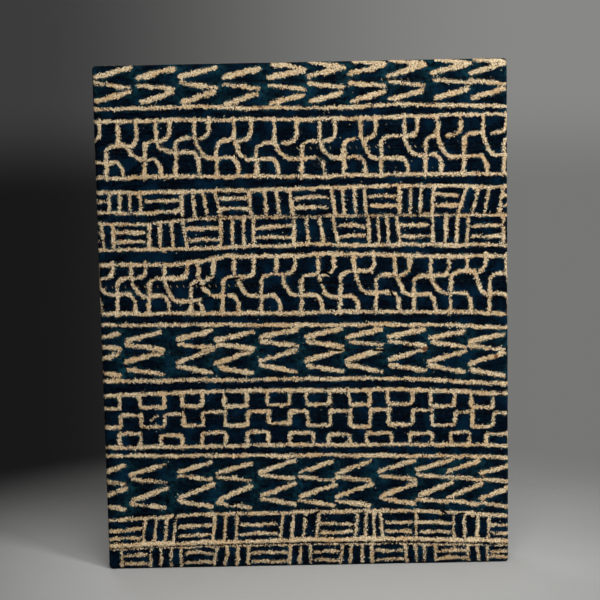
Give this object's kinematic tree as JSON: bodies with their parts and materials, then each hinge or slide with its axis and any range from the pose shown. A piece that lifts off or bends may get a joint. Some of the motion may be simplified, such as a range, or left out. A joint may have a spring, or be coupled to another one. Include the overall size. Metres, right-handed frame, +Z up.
{
  "type": "resist-dyed ndop cloth on a wooden stretcher frame",
  "caption": "Indigo cotton strip cloth with pale geometric resist bands, pulled tight over a rectangular wooden stretcher and standing on its lower edge.",
  "frame": {"origin": "under the middle of the panel, on the surface it stands on", "axes": "+X along the panel's width, -Y out of the patterned face, +Z up"},
  "size_m": [0.4096, 0.0407, 0.5116],
  "materials": {
    "indigo_cotton": "matte hand-woven cotton, indigo ground with undyed beige resist lines",
    "pine": "bare planed pine"
  },
  "bodies": {
    "root": {"bar_bottom": "pine", "bar_right": "pine", "bar_top": "pine", "bar_left": "pine", "strip_01": "indigo_cotton", "strip_02": "indigo_cotton", "strip_03": "indigo_cotton", "strip_04": "indigo_cotton", "strip_05": "indigo_cotton", "strip_06": "indigo_cotton", "strip_07": "indigo_cotton", "strip_08": "indigo_cotton", "strip_09": "indigo_cotton"}
  },
  "joints": []
}
